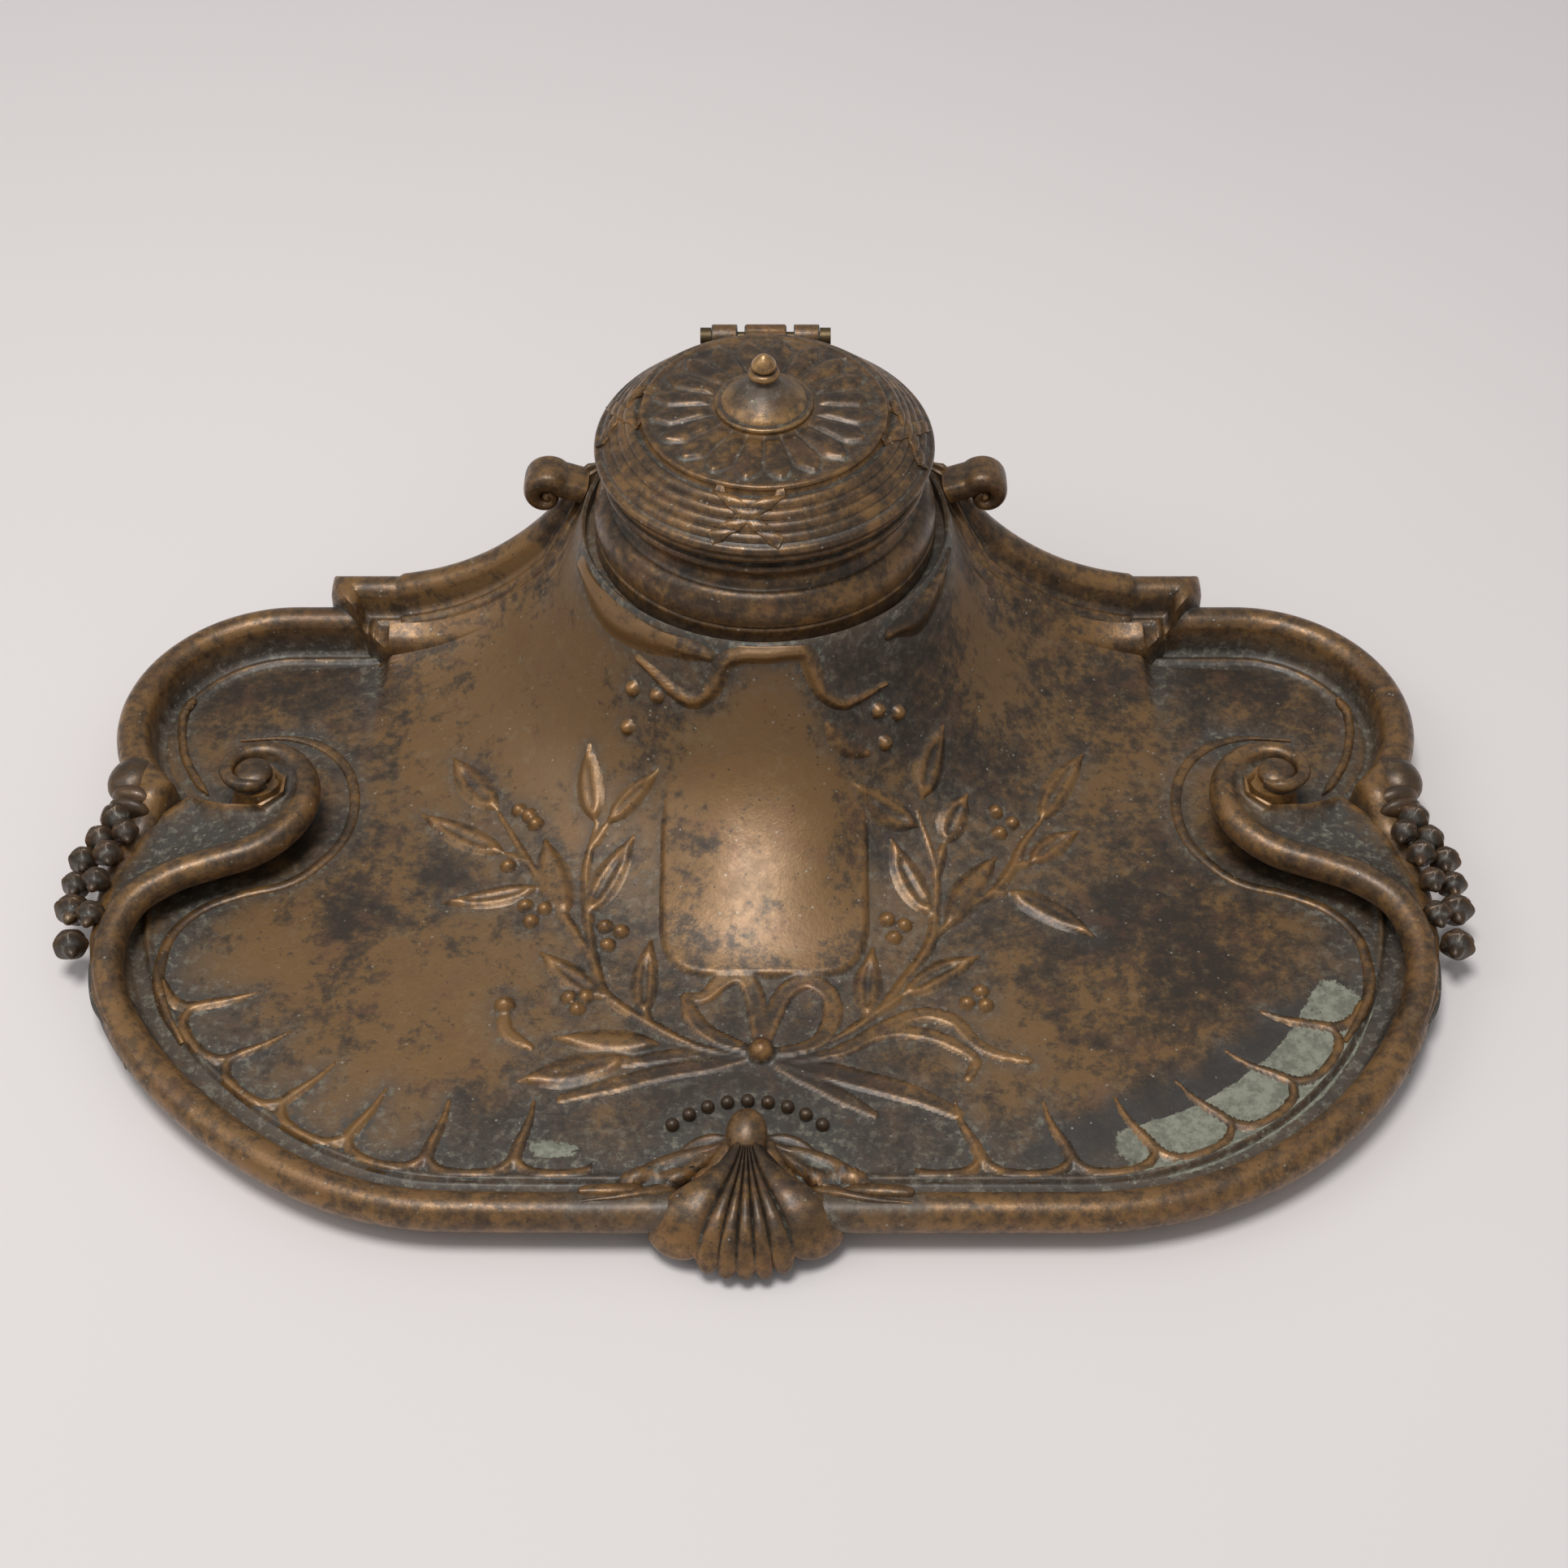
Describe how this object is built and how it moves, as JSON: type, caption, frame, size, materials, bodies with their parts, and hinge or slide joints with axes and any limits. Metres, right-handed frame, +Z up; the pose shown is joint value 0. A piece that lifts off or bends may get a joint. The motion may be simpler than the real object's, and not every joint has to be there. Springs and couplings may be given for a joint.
{
  "type": "desk inkstand",
  "caption": "Bronze desk inkstand: a scrolled pen dish whose mound carries an ink pot under a hinged lid.",
  "frame": {"origin": "middle of the outline at the level of the table", "axes": "+X to the right of a person who writes at the desk, +Y away from them towards the hinge, +Z up"},
  "size_m": [0.2594, 0.1775, 0.0816],
  "materials": {
    "dish_bronze": "brown patina, rubbed bare on the ridges",
    "ornament_bronze": "brown patina with dark recesses",
    "collar_bronze": "rubbed brown patina",
    "lid_bronze": "brown patina",
    "finial_bronze": "worn bright at the tip",
    "raw_brass": "turned, dull",
    "pot_glaze": "plain white glaze"
  },
  "bodies": {
    "stand": {"tray": "dish_bronze", "scroll_left": "ornament_bronze", "scroll_right": "ornament_bronze", "curl_left": "ornament_bronze", "curl_right": "ornament_bronze", "front_shell": "ornament_bronze", "shell_pearls": "ornament_bronze", "husks_left": "ornament_bronze", "husks_right": "ornament_bronze", "collar": "collar_bronze", "collar_nut": "raw_brass", "ink_pot": "pot_glaze", "hinge_pin": "raw_brass"},
    "lid": {"lid": "lid_bronze", "lid_rosette": "lid_bronze", "finial": "finial_bronze", "finial_nut": "raw_brass"}
  },
  "joints": [
    {"name": "lid_hinge", "type": "hinge", "parent": "stand", "child": "lid", "pos_m": [0, 0.0861, 0.0605], "axis": [-1, 0, 0], "range_deg": [0, 105]}
  ]
}
